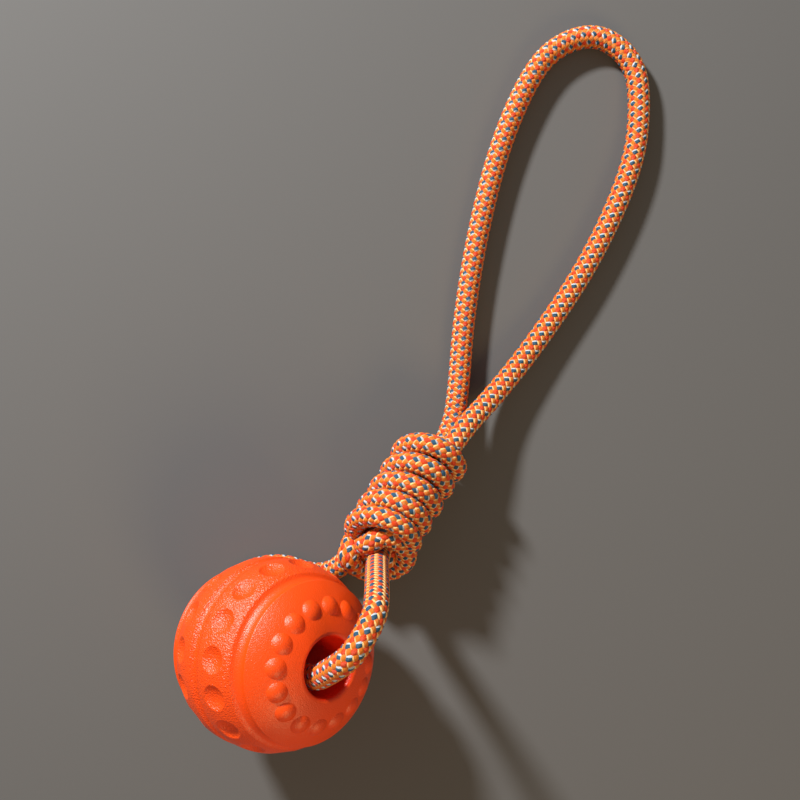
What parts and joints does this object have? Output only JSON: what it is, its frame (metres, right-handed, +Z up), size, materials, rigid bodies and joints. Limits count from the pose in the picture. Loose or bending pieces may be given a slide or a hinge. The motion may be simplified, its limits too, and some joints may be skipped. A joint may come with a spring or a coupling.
{
  "type": "dog training ball on a rope",
  "caption": "Solid rubber dog ball with a through bore, dimpled belts and bump rings, turning on a braided rope with a coil knot and a long hand loop.",
  "frame": {"origin": "on the surface the toy lies on, straight under the ball's centre", "axes": "+Z up, +Y from the ball along the toy to the far end of the hand loop"},
  "size_m": [0.0837, 0.3143, 0.0812],
  "materials": {
    "ball_rubber": "semi-matte moulded rubber, stippled belts and finely grained side faces",
    "rope_braid": "diamond-braided orange rope with blue and white flecks"
  },
  "bodies": {
    "rope": {"rope_loop": "rope_braid", "rope_knot": "rope_braid", "rope_bight": "rope_braid"},
    "ball": {"ball": "ball_rubber"}
  },
  "joints": [
    {"name": "ball_spin", "type": "hinge", "parent": "rope", "child": "ball", "pos_m": [0, 0, 0.03716], "axis": [0.5993, 0.3335, 0.7278], "continuous": true}
  ]
}
